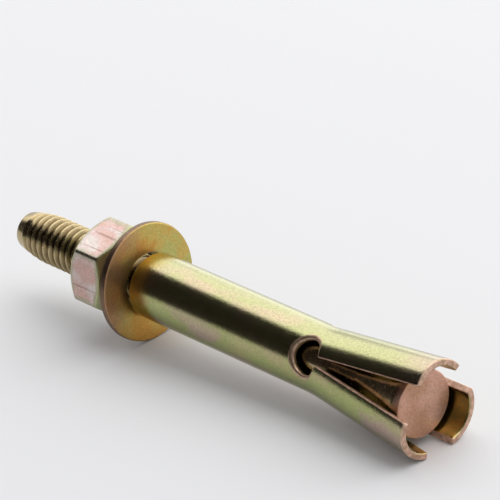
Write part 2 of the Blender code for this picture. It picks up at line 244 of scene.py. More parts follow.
def smooth_step(x):
    """Zero below 0 and one above 1, and three x squared less two x cubed in between."""
    x = np.clip(x, 0.0, 1.0)
    return x * x * (3.0 - 2.0 * x)


def soft_clip(x, edge):
    """Zero below 0 and one above 1, straight in between, with parabolas of half width edge at both ends."""
    low = (x + edge) ** 2 / (4 * edge)
    high = 1 - (1 + edge - x) ** 2 / (4 * edge)
    return np.select([x < -edge, x < edge, x < 1 - edge, x < 1 + edge], [0.0 * x, low, x, high], 1.0)


def frame_matrix(axis, origin, roll):
    """Matrix whose Z is the axis and whose X is the upward direction turned about it by roll."""
    upward = (Vector((0.0, 0.0, 1.0)) - axis * axis.z).normalized()
    turned = Matrix.Rotation(roll, 3, axis) @ upward
    made = Matrix((turned, axis.cross(turned), axis)).transposed().to_4x4()
    made.translation = origin
    return made


def bolt_matrix():
    """Matrix of the bolt's own frame, whose zero is the middle of the sleeve's washer end."""
    place = bpy.context.scene.bolt_place
    return frame_matrix(BOLT_AXIS, NUT_MIDDLE + BOLT_AXIS * place.nut_distance, place.roll)


def grid(points, **marks):
    """One grid of points, rows by columns, with a number per point for each named mark."""
    points = np.asarray(points, dtype=float)
    rows, columns = points.shape[:2]
    index = np.arange(rows * columns).reshape(rows, columns)
    corners = [index[:-1, :-1], index[:-1, 1:], index[1:, 1:], index[1:, :-1]]
    values = {name: np.broadcast_to(value, (rows, columns)).ravel() for name, value in marks.items()}
    return {"points": points.reshape(-1, 3), "faces": np.stack(corners, -1).reshape(-1, 4), "marks": values}


def make_piece(name, grids, matrix, material, sharp=50.0):
    """Joins grids into one closed mesh: points that meet are merged and all faces are turned outward."""
    starts = np.cumsum([0] + [len(one["points"]) for one in grids[:-1]])
    points = np.concatenate([one["points"] for one in grids])
    faces = np.concatenate([one["faces"] + start for one, start in zip(grids, starts)])
    pose = np.array(matrix)
    points = points @ pose[:3, :3].T + pose[:3, 3]
    mesh = bpy.data.meshes.new(name)
    mesh.vertices.add(len(points))
    mesh.vertices.foreach_set("co", points.ravel())
    mesh.loops.add(faces.size)
    mesh.loops.foreach_set("vertex_index", faces.ravel())
    mesh.polygons.add(len(faces))
    mesh.polygons.foreach_set("loop_start", np.arange(0, faces.size, 4))
    mesh.update(calc_edges=True)
    for mark in sorted({mark for one in grids for mark in one["marks"]}):
        layer = mesh.attributes.new(mark, "FLOAT", "POINT")
        zeros = [one["marks"].get(mark, np.zeros(len(one["points"]))) for one in grids]
        layer.data.foreach_set("value", np.concatenate(zeros).astype(np.float32))
    bm = bmesh.new()
    bm.from_mesh(mesh)
    bmesh.ops.remove_doubles(bm, verts=bm.verts, dist=MERGE_DISTANCE)
    bmesh.ops.dissolve_degenerate(bm, edges=bm.edges, dist=SHORTEST_EDGE)
    open_edges = sum(1 for edge in bm.edges if not edge.is_manifold)
    if open_edges:
        raise RuntimeError(f"{name} has {open_edges} open edges, so its surface isn't closed")
    bmesh.ops.recalc_face_normals(bm, faces=bm.faces)
    bm.to_mesh(mesh)
    bm.free()
    mesh.polygons.foreach_set("use_smooth", np.ones(len(mesh.polygons), dtype=bool))
    mesh.set_sharp_from_angle(angle=math.radians(sharp))
    mesh.materials.append(material)
    piece = bpy.data.objects.new(name, mesh)
    bpy.context.scene.collection.objects.link(piece)
    return piece


def rounded(corners, radii, steps=7):
    """Profile through corners (radius, height), each replaced by the arc of its own radius.

    An arc touches both sides at radius times the tangent of half the turn from the corner. A short
    step follows each end of an arc, so that the long faces beside it stay flat to the light.
    """
    points = [np.array([corners[0]])]
    for before, corner, after, radius in zip(corners, corners[1:], corners[2:], radii):
        corner = np.array(corner)
        back = np.array(before) - corner
        ahead = np.array(after) - corner
        rooms = np.linalg.norm(back), np.linalg.norm(ahead)
        back, ahead = back / rooms[0], ahead / rooms[1]
        turn = math.pi - math.acos(np.clip(back @ ahead, -1.0, 1.0))
        if radius <= 0.0 or turn < 1e-6:
            points.append(corner[None])
            continue
        tangent = min(radius * math.tan(turn / 2), ARC_SHARE * min(rooms))
        radius = tangent / math.tan(turn / 2)
        middle = corner + (back + ahead) / np.linalg.norm(back + ahead) * radius / math.cos(turn / 2)
        first = corner + back * tangent - middle
        second = corner + ahead * tangent - middle
        share = np.linspace(0.0, 1.0, steps)[:, None] * turn
        sweep = (np.sin(turn - share) * first + np.sin(share) * second) / math.sin(turn)
        ease = min(EASE_SHARES[0] * radius, EASE_SHARES[1] * min(rooms))
        before_arc = corner + back * (tangent + ease)
        after_arc = corner + ahead * (tangent + ease)
        points += [before_arc[None], middle + sweep, after_arc[None]]
    points.append(np.array([corners[-1]]))
    return np.concatenate(points)


def turned(profile, columns=ROUND_COLUMNS):
    """Profile (radius, height) spun about Z: (radius cos t, radius sin t, height) for t round a full turn."""
    t = np.linspace(0.0, 2.0 * math.pi, columns)
    t[-1] = 0.0
    radius, height = profile[:, :1], profile[:, 1:]
    return np.stack([radius * np.cos(t), radius * np.sin(t), height + 0.0 * t], axis=-1)


def bend_petals(points, petal, settings):
    """Bends points of one petal outward, as a short curved beam and then straight on.

    Along the bend the beam's middle line follows an arc that turns by the petal's swing, and every
    point keeps its height above that line, square to it.
    """
    swing = settings.swings[petal]
    crown = petal * 2 * SECTOR
    outer = settings.diameter / 2
    start = settings.length - settings.petal_length - BEND_START * settings.hole / 2
    out = points[..., 0] * math.cos(crown) + points[..., 1] * math.sin(crown)
    side = -points[..., 0] * math.sin(crown) + points[..., 1] * math.cos(crown)
    along = points[..., 2]
    tilt = swing * np.clip(along - start, 0.0, settings.bend) / settings.bend
    curve = settings.bend / swing
    beyond = np.clip(along - start - settings.bend, 0.0, None)
    middle_z = np.minimum(along, start) + curve * np.sin(tilt) + beyond * np.cos(tilt)
    middle_out = BEAM_SHARE * outer + curve * (1 - np.cos(tilt)) + beyond * np.sin(tilt)
    height = out - BEAM_SHARE * outer
    out = middle_out + height * np.cos(tilt)
    along = middle_z - height * np.sin(tilt)
    x = out * math.cos(crown) - side * math.sin(crown)
    y = out * math.sin(crown) + side * math.cos(crown)
    return np.stack([x, y, along], axis=-1)


def sleeve_outline(s):
    """Half the outline of one gap, seen along its drill: round the hole, round the corner, along the cut.

    Returns for each station its place along the bolt from the hole's middle, its distance from the gap's
    middle line, the direction into the metal, the outer edge's rounding, and how far the tip has drawn in.
    """
    hole = s.hole / 2
    half = s.slot / 2
    centre = math.sqrt((hole + s.corner) ** 2 - (half + s.corner) ** 2)
    meet = math.atan2(half + s.corner, centre)
    turn = np.linspace(math.pi, meet, 40)
    arc = np.linspace(meet + math.pi, 1.5 * math.pi, 8)[1:]
    run = np.linspace(centre, s.petal_length - s.tip, 56)[1:]
    tip = np.linspace(0.0, math.pi / 2, TIP_POINTS)[1:]
    drawn = s.tip * (1 - np.cos(tip))
    at_tip = s.petal_length - s.tip + s.tip * np.sin(tip)
    along = [hole * np.cos(turn), centre + s.corner * np.cos(arc), run, at_tip]
    aside = [hole * np.sin(turn), half + s.corner * (1 + np.sin(arc)), half + 0 * run, half + drawn]
    into_z = [np.cos(turn), -np.cos(arc), 0 * run, 0 * tip]
    into_s = [np.sin(turn), -np.sin(arc), 1 + 0 * run, 1 + 0 * tip]
    rim = s.slot_edge + (s.rim - s.slot_edge) * smooth_step((turn - meet) / (RIM_FULL - meet))
    rounding = [rim, s.slot_edge + 0 * arc, s.slot_edge + 0 * run, s.slot_edge + 0 * tip]
    shrink = [0 * turn, 0 * arc, 0 * run, drawn]
    return [np.concatenate(one)[:, None] for one in (along, aside, into_z, into_s, rounding, shrink)]


def sleeve_grids(s):
    """Six half petals and the tube that carries them.

    Each half petal is a grid of stations along its gap's outline by points round its section: the outer
    face from the crown down to the edge, the edge's rounding, the cut wall, the inner edge's rounding and
    the inner face back to the crown. A last grid closes its tip. The petals are then bent outward.
    """
    outer = s.diameter / 2
    inner = outer - s.wall
    hole_place = s.length - s.petal_length
    along, aside, into_z, into_s, rounding, shrink = sleeve_outline(s)
    outer_r = outer - shrink
    inner_r = inner + shrink
    reach = np.concatenate([[0.0, 0.01], np.linspace(0.0, 1.0, 20)[1:]])[None]

    def face(radius, z, s_):
        edge = np.arcsin(s_ / radius)
        spread = edge + (SECTOR - edge) * reach
        return radius * np.cos(spread), radius * np.sin(spread), z + 0 * spread

    beta = np.linspace(0.0, math.pi / 2, FILLET_POINTS)[None]
    fillet_z = along + into_z * rounding * (1 - np.cos(beta))
    fillet_s = aside + into_s * rounding * (1 - np.cos(beta))
    fillet_x = np.sqrt(outer_r**2 - fillet_s**2) - rounding * (1 - np.sin(beta))
    inner_beta = beta[:, ::3]
    break_z = along + into_z * s.inner_edge * (1 - np.cos(inner_beta))
    break_s = aside + into_s * s.inner_edge * (1 - np.cos(inner_beta))
    break_x = np.sqrt(inner_r**2 - break_s**2) + s.inner_edge * (1 - np.sin(inner_beta))
    down = np.linspace(0.0, 1.0, 6)[None, 1:-1]
    wall_x = fillet_x[:, :1] * (1 - down) + break_x[:, :1] * down
    outer_face = face(outer_r, fillet_z[:, -1:], fillet_s[:, -1:])
    inner_face = face(inner_r, break_z[:, -1:], break_s[:, -1:])
    wall_s, wall_z = aside + 0 * down, along + 0 * down
    edges = ((fillet_x, wall_x, break_x), (fillet_s, wall_s, break_s), (fillet_z, wall_z, break_z))
    rows = []
    for outside, (fillet, wall, inner_edge), inward in zip(outer_face, edges, inner_face):
        strips = [outside[:, ::-1], fillet[:, -2::-1], wall, inner_edge, inward[:, 1:]]
        rows.append(np.concatenate(strips, axis=1))
    section = np.stack(rows, axis=-1)
    n = reach.shape[1]
    chain = section[-1, n - 1 : len(section[0]) - n + 1]
    cut = np.zeros(section.shape[:2])
    cut[:, n - 1 : section.shape[1] - n + 1] = 1.0
    at_hole = (into_z[:, 0] < -0.05) | (rounding[:, 0] > s.slot_edge * 1.5)
    wall_start = n - 2 + FILLET_POINTS
    cut[at_hole, n - 1 : wall_start] = HOLE_RIM_CUT
    cut[at_hole, wall_start : section.shape[1] - n + 1] = HOLE_WALL_CUT
    tip_rows = np.linspace(0.0, 1.0, TIP_POINTS)[1:, None]
    cut[1 - TIP_POINTS :] = np.maximum(cut[1 - TIP_POINTS :], tip_rows)
    inside = np.zeros(section.shape[:2])
    inside[:, section.shape[1] - n :] = 1.0
    share = np.linspace(0.0, 1.0, len(chain))[None, :, None]
    first = section[-1, :n][:, None]
    last = section[-1, ::-1][:n][:, None]
    cap = np.concatenate([first * (1 - share) + last * share, chain[None]])

    plain = reach[0] * SECTOR
    height = np.linspace(hole_place - s.hole / 2 - s.rim, s.end, 60)
    ends = rounded(
        [(outer, height[-2]), (outer, 0.0), (inner, 0.0), (inner, height[-2])], [s.end, s.end / 2], 8
    )
    back = np.linspace(height[-2], hole_place - s.hole / 2 - s.inner_edge, 30)[1:]
    profile = np.concatenate(
        [np.stack([outer + 0 * height[:-2], height[:-2]], 1), ends, np.stack([inner + 0 * back, back], 1)]
    )
    radius, z = profile[:, :1], profile[:, 1:]
    tube = np.stack([radius * np.cos(plain), radius * np.sin(plain), z + 0 * plain], axis=-1)
    tube_inside = (radius < inner + 1e-6) & (z > s.end)

    grids = []
    for number in range(PETALS):
        gap = (2 * number + 1) * SECTOR
        spin = np.array(Matrix.Rotation(gap, 3, "Z"))
        for side in (1.0, -1.0):
            mirror = np.array([1.0, side, 1.0])
            petal = (number + (side > 0)) % PETALS
            lift = np.array([0.0, 0.0, hole_place])
            for body, marks in ((section, {"cut": cut, "inside": inside}), (cap, {"cut": 1.0})):
                placed = (body * mirror) @ spin.T + lift
                grids.append(grid(bend_petals(placed, petal, s), **marks))
            grids.append(grid((tube * mirror) @ spin.T, inside=tube_inside + 0.0 * plain))
    return grids


def helix(t, pitch, phases, start, stop):
    """Rows that follow a right-hand helix: height is the row's own plus the pitch times the share of a turn.

    Rows stand at the given shares of each pitch. Heights outside start and stop stay on that end's ring.
    Returns the heights and, for each row, its share of the pitch.
    """
    count = int(math.ceil((stop - start) / pitch)) + 2
    rows = (np.arange(-1, count)[:, None] + phases[None]).ravel()
    share = np.mod(rows, 1.0)[:, None] + 0.0 * t
    height = start + pitch * (rows[:, None] + t / (2 * math.pi))
    return np.clip(height, start, stop), share


def groove(share, crest=0.90, root=0.16, edge=0.07):
    """Depth of a thread form over one pitch, from 0 to 1: flat crest, straight flanks and round root.

    It is crest less the size of (2 share - 1), over crest less root, held softly between 0 and 1.
    """
    return soft_clip((crest - np.abs(2 * share - 1)) / (crest - root), edge)


# Shares of the pitch at which a thread has a row of points, closest where its groove bends.
THREAD_ROWS = np.array(
    [0.0, 0.025, 0.045, 0.065, 0.09, 0.14, 0.26, 0.36, 0.40, 0.44]
    + [0.5, 0.56, 0.60, 0.64, 0.74, 0.86, 0.91, 0.935, 0.955, 0.975]
)


def stud_grids(s):
    """A helical thread whose body narrows in a long curve to the tip, and a turned shank and cone head.

    The body's radius at share x of the lead is tip + (full - tip) (1 - (1 - x)^p), where p is the
    lead's power, and the groove's depth fades in over the lead's middle and out where the thread ends.
    """
    full = s.diameter / 2
    shank = s.shank / 2
    start = -s.reach + s.tip_edge
    stop = -s.reach + s.thread + THREAD_END
    t = np.linspace(0.0, 2 * math.pi, ROUND_COLUMNS)[None]
    height, share = helix(t, s.pitch, THREAD_ROWS, start - s.phase, stop - s.phase)
    height = np.clip(height + s.phase, start, stop)
    x = np.clip((height - start) / (s.lead - s.tip_edge), 0.0, 1.0)
    body = s.tip / 2 + (full - s.tip / 2) * (1 - (1 - x) ** s.lead_power)
    body = np.minimum(body, shank + (stop - height))
    fade = smooth_step((x - LEAD_FADE_START) / LEAD_FADE_LENGTH) * smooth_step((stop - height) / THREAD_FADE)
    cut = groove(share) * fade
    radius = body - s.depth * cut
    spin = np.where(t >= 2 * math.pi, 0.0, t)
    thread = np.stack([radius * np.cos(spin), radius * np.sin(spin), height], axis=-1)
    cone = s.cone / 2
    end = bpy.context.scene.bolt_sleeve.length - s.cone_setback
    bevel = [(s.tip / 2, start), (s.tip / 2 - s.tip_edge * 0.9, -s.reach), (0.0, -s.reach)]
    tip = rounded(bevel, [s.tip_edge * 0.6])
    head = rounded(
        [
            (shank, stop),
            (shank, end - s.cone_land - s.cone_length),
            (cone, end - s.cone_land),
            (cone, end),
            (cone * FACE_FLAT, end + FACE_HOLLOW / 2),
            (0.0, end - FACE_HOLLOW),
        ],
        [SHANK_FILLET, LAND_FILLET, s.cone_edge, FACE_ROUNDING],
        9,
    )
    head[:, 1] = np.minimum(head[:, 1], end)
    return [
        # The root and crest marks carry the painted shade in the thread's roots and the painted highlight on
        # its crests.
        grid(thread, root=cut, crest=(1.0 - smooth_step(cut / 0.3)) * fade),
        grid(turned(tip), root=0.0),
        grid(turned(head), face=(head[:, 1:] > end - FACE_SIDE) + 0.0 * t),
    ]


def washer_grids(s):
    """A punched ring: a profile with one softly rolled and one sharper edge, spun about its axis.

    The sheet waves by dish times cos(2 t + 1), growing from the bore to the rim.
    """
    outer, inner, half = s.diameter / 2, s.bore / 2, s.thickness / 2 - s.dish
    steps = np.linspace(inner + WASHER_MARGIN, outer - WASHER_MARGIN, WASHER_RINGS)
    front = [(radius, half) for radius in steps]
    rear = [(radius, -half) for radius in steps[::-1]]
    corners = [(inner, 0.0), (inner, half), *front, (outer, half)]
    corners += [(outer, -half), *rear, (inner, -half), (inner, 0.0)]
    soft, sharp = s.rolled_edge, s.sharp_edge
    radii = [s.hole_edge, *[0.0] * WASHER_RINGS, soft, sharp, *[0.0] * WASHER_RINGS, sharp]
    profile = rounded(corners, radii, 8)
    points = turned(profile, WASHER_COLUMNS)
    t = np.linspace(0.0, 2 * math.pi, WASHER_COLUMNS)
    share = (profile[:, :1] - inner) / (outer - inner)
    points[..., 2] += s.dish * share * np.cos(2 * t + 1.0)
    rim = smooth_step((profile[:, :1] - outer) / (0.35 * s.rolled_edge) + 1.0) + 0.0 * t
    # Mask of the painted highlight: the hole's rounded edge on the sleeve's side.
    worn = smooth_step((inner + s.hole_edge - profile[:, :1]) / (0.5 * s.hole_edge)) * (profile[:, 1:] > 0.0)
    return [grid(points, rim=rim, worn=worn + 0.0 * t)]


def nut_grids(s):
    """A hexagon whose section changes with the turn, and a bore with a helical groove.

    Away from a flat's middle the hexagon's radius is the flat's distance over the cosine of the turn,
    and at each corner it follows the corner's arc. Each chamfer leaves the face circle and falls by the
    tangent of its slope, and arcs join it to the face and to the flats.
    """
    flat = s.across_flats / 2
    circle = flat * s.face_share
    half = s.thickness / 2
    bore = s.bore / 2
    tangent = (flat - s.corner) * math.tan(math.pi / 6)
    across = np.linspace(-tangent, tangent, 17)
    flat_turn = np.arctan2(across, flat)
    flat_radius = flat / np.cos(flat_turn)
    centre = (flat - s.corner) / math.cos(math.pi / 6)
    corner_turn = np.linspace(flat_turn[-1], math.pi / 3 - flat_turn[-1], 10)[1:-1]
    away = corner_turn - math.pi / 6
    corner_radius = centre * np.cos(away) + np.sqrt(s.corner**2 - (centre * np.sin(away)) ** 2)
    one_turn = np.concatenate([flat_turn, corner_turn])
    one_radius = np.concatenate([flat_radius, corner_radius])
    starts = np.arange(6)[:, None] * math.pi / 3
    t = np.append((starts + one_turn).ravel(), one_turn[0] + 2 * math.pi)[None]
    hexagon = np.append(np.tile(one_radius, 6), one_radius[0])[None]

    def end_rings(slope):
        """Radius, height and edge mark of the rings from the bore over the face and chamfer to the flats."""
        fall = math.tan(slope)
        turn = np.linspace(math.pi / 2 - slope, 0.0, 9)[:, None]
        ease = s.side * (1 / math.cos(slope) - fall)
        side_z = half - (hexagon - circle) * fall - ease + s.side * np.sin(turn)
        corners = [(bore, half - s.sink), (bore + s.sink, half), (circle, half)]
        corners.append((circle + CHAMFER_STEP, half - CHAMFER_STEP * fall))
        face = rounded(corners, [SINK_EDGE, s.face_edge], 5)[:-1]
        radius = np.concatenate([face[:, :1] + 0 * t, hexagon - s.side + s.side * np.cos(turn)])
        height = np.concatenate([face[:, 1:] + 0 * t, side_z])
        edge = np.concatenate([0 * face[:, :1] + 0.6, np.clip(turn / 0.5, 0.0, 1.0)]) + 0 * t
        return radius, height, edge

    near_r, near_z, near_edge = end_rings(s.washer_slope)
    far_r, far_z, far_edge = end_rings(s.free_slope)
    down = np.linspace(0.0, 1.0, 14)[1:-1, None]
    down = np.concatenate([[[0.015]], down, [[0.985]]])
    flank_z = near_z[-1:] * (1 - down) - far_z[-1:] * down
    radius = np.concatenate([near_r, hexagon + 0 * down, far_r[::-1]])
    height = np.concatenate([near_z, flank_z, -far_z[::-1]])
    edge = np.concatenate([near_edge, 0 * flank_z, far_edge[::-1]])
    beside_corner = smooth_step((np.abs(across) - tangent) / CORNER_BORDER + 1.0)
    one_border = np.concatenate([beside_corner, 1.0 + 0 * away])
    border = np.append(np.tile(one_border, 6), one_border[0])[None]
    from_end = np.minimum(near_z[-1:] - height, height + far_z[-1:])
    border = np.maximum(border, smooth_step(1.0 - from_end / END_BORDER))
    place = t + s.turn + math.pi / 6
    shell = np.stack([radius * np.cos(place), radius * np.sin(place), height], axis=-1)
    start, stop = -half + s.sink, half - s.sink
    pitch = bpy.context.scene.bolt_stud.pitch
    rows, share = helix(t - t[0, 0], pitch, THREAD_ROWS, start, stop)
    fade = smooth_step((rows - start) / NUT_GROOVE_FADE) * smooth_step((stop - rows) / NUT_GROOVE_FADE)
    inner = bore + NUT_GROOVE * groove(share) * fade
    thread = np.stack([inner * np.cos(place), inner * np.sin(place), rows], axis=-1)
    shell[:, -1] = shell[:, 0]
    return [grid(shell, edge=edge, border=border), grid(thread, edge=0.3)]


def add(nodes, kind, inputs=None, **properties):
    """Adds a node; an input given as a socket is linked, and any other is its value."""
    made = nodes.new(kind)
    for key, value in properties.items():
        setattr(made, key, value)
    for key, value in (inputs or {}).items():
        if isinstance(value, bpy.types.NodeSocket):
            nodes.id_data.links.new(value, made.inputs[key])
        else:
            made.inputs[key].default_value = value
    return made


def math_node(nodes, operation, first, second):
    made = add(nodes, "ShaderNodeMath", {0: first, 1: second}, operation=operation)
    return made.outputs[0]


def plus(nodes, value, other, share):
    """The value plus a share of the other one."""
    return math_node(nodes, "ADD", value, math_node(nodes, "MULTIPLY", other, share))


def between(nodes, value, low, high, to_low=0.0, to_high=1.0):
    """Carries a value's range from low to high on to another range, and holds it at the ends."""
    inputs = {"Value": value, "From Min": low, "From Max": high, "To Min": to_low, "To Max": to_high}
    return add(nodes, "ShaderNodeMapRange", inputs).outputs["Result"]


def mix(nodes, factor, first, second, blend="MIX"):
    """Mixes two colours; each is a socket or three numbers."""
    made = nodes.new("ShaderNodeMix")
    made.data_type = "RGBA"
    made.blend_type = blend
    sockets = [made.inputs["Factor"]]
    sockets += [socket for socket in made.inputs if socket.type == "RGBA"][:2]
    for socket, value in zip(sockets, (factor, first, second)):
        if isinstance(value, bpy.types.NodeSocket):
            nodes.id_data.links.new(value, socket)
        elif socket.type == "RGBA":
            socket.default_value = (*value, 1.0)
        else:
            socket.default_value = value
    return next(socket for socket in made.outputs if socket.type == "RGBA")


def ramp(nodes, value, stops):
    """Colour ramp through (position, colour) stops."""
    made = add(nodes, "ShaderNodeValToRGB", {"Fac": value})
    elements = made.color_ramp.elements
    while len(elements) < len(stops):
        elements.new(0.5)
    for element, (position, tint) in zip(elements, stops):
        element.position = position
        element.color = (*tint, 1.0)
    return made.outputs["Color"]


def noise(nodes, vector, scale, detail=2.0, roughness=0.5, distortion=0.0):
    """Cloudy pattern from 0 to 1, with scale cells to a millimetre."""
    inputs = {"Vector": vector, "Scale": scale, "Detail": detail}
    inputs.update({"Roughness": roughness, "Distortion": distortion})
    return add(nodes, "ShaderNodeTexNoise", inputs).outputs["Fac"]


def stretched(nodes, vector, scale, shift=(0.0, 0.0, 0.0)):
    """Coordinates times a scale plus a shift; a scale below 1 draws a pattern out that way."""
    return add(nodes, "ShaderNodeMapping", {"Vector": vector, "Scale": scale, "Location": shift}).outputs[0]


def mark(nodes, name):
    """The number that the mesh holds for each point under this name."""
    return add(nodes, "ShaderNodeAttribute", attribute_name=name).outputs["Fac"]


def new_material(name):
    """A material with its nodes cleared, and its coordinates turned into the bolt's frame, in millimetres."""
    made = bpy.data.materials.new(name)
    made.use_nodes = True
    nodes = made.node_tree.nodes
    nodes.clear()
    inverse = bolt_matrix().inverted()
    place = add(nodes, "ShaderNodeTexCoord").outputs["Object"]
    local = add(
        nodes,
        "ShaderNodeMapping",
        {
            "Vector": place,
            "Location": inverse.translation * MILLIMETRES,
            "Rotation": inverse.to_euler("XYZ"),
            "Scale": (MILLIMETRES, MILLIMETRES, MILLIMETRES),
        },
        vector_type="POINT",
    )
    return made, nodes, local.outputs[0]


def zinc(nodes, tint, local, grain, shine, wave=0.010, lines=(1.0, 1.0, 0.03), line_depth=0.0015, dull=0.0):
    """Plated steel: full metal with its film's tint, patchy gloss, soft waves, grain and drawn lines.

    Depths are in millimetres: wave is the soft unevenness about 1.5 mm wide, grain the fine one, and
    line_depth the marks that the drawing or turning tool leaves, drawn out by the lines scale. Shine is
    the least and the most roughness, and dull a share from 0 to 1 that adds to it where the steel was
    cut or cast. The fine grain also darkens the tint in its hollows and lightens it on its peaks, as painted
    shade and painted light.
    """
    soft = noise(nodes, local, 0.62, 2.0)
    fine = noise(nodes, local, 2.2, 3.0, 0.65)
    drawn = noise(nodes, stretched(nodes, local, lines), 6.0, 2.0)
    height = math_node(nodes, "MULTIPLY", soft, wave / MILLIMETRES)
    height = plus(nodes, height, fine, grain / MILLIMETRES)
    height = plus(nodes, height, drawn, line_depth / MILLIMETRES)
    bump = add(nodes, "ShaderNodeBump", {"Height": height, "Strength": 1.0, "Distance": 1.0})
    # Painted shade in the grain's hollows and painted light on its peaks.
    grain_shade = between(nodes, fine, 0.36, 0.64, 0.84, 1.06)
    tint = mix(nodes, 1.0, tint, grain_shade, "MULTIPLY")
    gloss = between(nodes, noise(nodes, local, 1.7, 3.0), 0.3, 0.7, *shine)
    gloss = plus(nodes, gloss, dull, 0.36)
    shader = add(
        nodes,
        "ShaderNodeBsdfPrincipled",
        {"Base Color": tint, "Metallic": 1.0, "Roughness": gloss, "Normal": bump.outputs["Normal"]},
    )
    add(nodes, "ShaderNodeOutputMaterial", {"Surface": shader.outputs[0]})


def sleeve_material(s):
    """Paler on top as a painted highlight, green below with long soft patches, pinker underneath as painted
    sheen, golden at the washer as a painted reflection of the washer, and pinker at the tips.

    X and Z are millimetres up from the axis and along the bolt, each shifted by the noise so that no
    border is straight. The marks give the petals' inner wall and the cut faces their own colours.
    """
    made, nodes, local = new_material("sleeve_chromate")
    long = stretched(nodes, local, (1.0, 1.0, 0.45), (0.0, 0.0, -4.4))
    patches = noise(nodes, long, 0.11, 2.0, 0.5, 0.4)
    fine = noise(nodes, local, 0.6, 3.0)
    blend = plus(nodes, math_node(nodes, "MULTIPLY", patches, 0.88), fine, 0.12)
    below = ramp(nodes, blend, [(0.36, s.gold), (0.46, s.olive), (0.53, s.olive), (0.62, s.pink)])
    # Paler colours for the painted highlight on top.
    above = ramp(nodes, blend, [(0.38, s.highlight_cream), (0.47, s.highlight_straw)])
    place = add(nodes, "ShaderNodeSeparateXYZ", {"Vector": local}).outputs
    # Painted sheen: pinker toward the underside.
    underside_sheen = between(nodes, plus(nodes, place["X"], patches, 10.0), 1.0, -1.5, 0.0, 0.8)
    below = mix(nodes, underside_sheen, below, s.pink)
    # Painted highlight: from X = -2 mm upward the film turns to the paler top colours.
    film = mix(nodes, between(nodes, place["X"], -2.0, 3.5), below, above)
    # Painted reflection of the golden washer, growing toward the sleeve's washer end.
    washer_reflection = between(nodes, plus(nodes, place["Z"], fine, 3.0), 8.5, 2.5)
    film = mix(nodes, washer_reflection, film, s.amber)
    tips = between(nodes, plus(nodes, place["Z"], patches, 22.0), 84.0, 96.0, 0.0, 0.7)
    film = mix(nodes, tips, film, s.pink)
    inner = mix(nodes, between(nodes, noise(nodes, local, 0.35, 2.0), 0.44, 0.60), s.inside, s.amber)
    film = mix(nodes, mark(nodes, "inside"), film, inner)
    sawn = mix(nodes, between(nodes, noise(nodes, local, 0.9, 3.0), 0.42, 0.62), s.cut, s.burnt)
    film = mix(nodes, mark(nodes, "cut"), film, sawn)
    zinc(nodes, film, local, 0.022, (0.15, 0.25), dull=mark(nodes, "cut"))
    return made


def stud_material(s):
    """Brass with olive patches, painted shade in the roots, a painted highlight on the crests, and pink on
    the cone's face.
    """
    made, nodes, local = new_material("stud_chromate")
    patches = noise(nodes, local, 0.3, 3.0, 0.55, 0.5)
    film = ramp(nodes, patches, [(0.36, s.olive), (0.5, s.brass), (0.58, s.brass), (0.72, s.olive)])
    cut = mark(nodes, "root")
    # Painted highlight on the crests and painted shade in the roots.
    film = mix(nodes, between(nodes, mark(nodes, "crest"), 0.5, 1.0), film, s.crest)
    film = mix(nodes, between(nodes, cut, 0.02, 0.6), film, s.root)
    face = mark(nodes, "face")
    shaded = between(nodes, noise(nodes, local, 0.14, 1.0), 0.42, 0.62, 0.0, 0.7)
    cast = mix(nodes, shaded, s.pink, s.amber)
    film = mix(nodes, face, film, cast)
    zinc(nodes, film, local, 0.0026, (0.16, 0.28), dull=face)
    return made


def washer_material(s):
    """Gold marbled with olive and orange, pinker toward one side and more orange at the bottom."""
    made, nodes, local = new_material("washer_chromate")
    patches = noise(nodes, local, 0.17, 3.0, 0.5, 0.3)
    film = ramp(nodes, patches, [(0.36, s.olive), (0.44, s.gold), (0.50, s.gold), (0.58, s.orange)])
    place = add(nodes, "ShaderNodeSeparateXYZ", {"Vector": local}).outputs
    cloud = noise(nodes, local, 0.25, 2.0)
    across = plus(nodes, place["Y"], place["X"], 0.35)
    one_side = between(nodes, plus(nodes, across, cloud, 6.0), 6.0, 13.0, 0.0, 0.85)
    film = mix(nodes, one_side, film, s.pink)
    bottom = between(nodes, plus(nodes, place["X"], cloud, 6.0), -2.5, -8.5, 0.0, 0.8)
    film = mix(nodes, bottom, film, s.orange)
    film = mix(nodes, mark(nodes, "rim"), film, s.rim)
    # Painted highlight on the hole's rounded edge.
    film = mix(nodes, mark(nodes, "worn"), film, s.worn)
    zinc(nodes, film, local, 0.0012, (0.37, 0.47), wave=0.006, lines=(1.0, 1.0, 1.0))
    return made


def nut_material(s):
    """Pink flats with pale and deeper patches and drawn lines, and olive chamfers, edges and borders."""
    made, nodes, local = new_material("nut_chromate")
    patches = noise(nodes, stretched(nodes, local, (1.0, 1.0, 0.6)), 0.24, 3.0, 0.5, 0.4)
    film = ramp(nodes, patches, [(0.38, s.salmon), (0.48, s.pink), (0.58, s.pale)])
    lines = noise(nodes, stretched(nodes, local, (1.0, 1.0, 0.02)), 1.3, 1.0)
    film = mix(nodes, between(nodes, lines, 0.64, 0.70, 0.0, 0.6), film, s.line)
    ragged = between(nodes, noise(nodes, local, 0.8, 3.0), 0.3, 0.7, -0.25, 0.25)
    border = math_node(nodes, "ADD", mark(nodes, "border"), ragged)
    film = mix(nodes, between(nodes, border, 0.45, 1.0, 0.0, 0.85), film, s.border)
    film = mix(nodes, mark(nodes, "edge"), film, s.olive)
    zinc(nodes, film, local, 0.0010, (0.30, 0.42), line_depth=0.004)
    return made


class BOLT_OT_sleeve(bpy.types.Operator):
    """Makes the slotted sleeve"""

    bl_idname = "bolt.sleeve"
    bl_label = "Slotted sleeve"

    def execute(self, context):
        settings = context.scene.bolt_sleeve
        piece = make_piece("slotted_sleeve", sleeve_grids(settings), bolt_matrix(), sleeve_material(settings))
        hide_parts("expansion_sleeve")
        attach(piece, "sleeve")
        return {"FINISHED"}


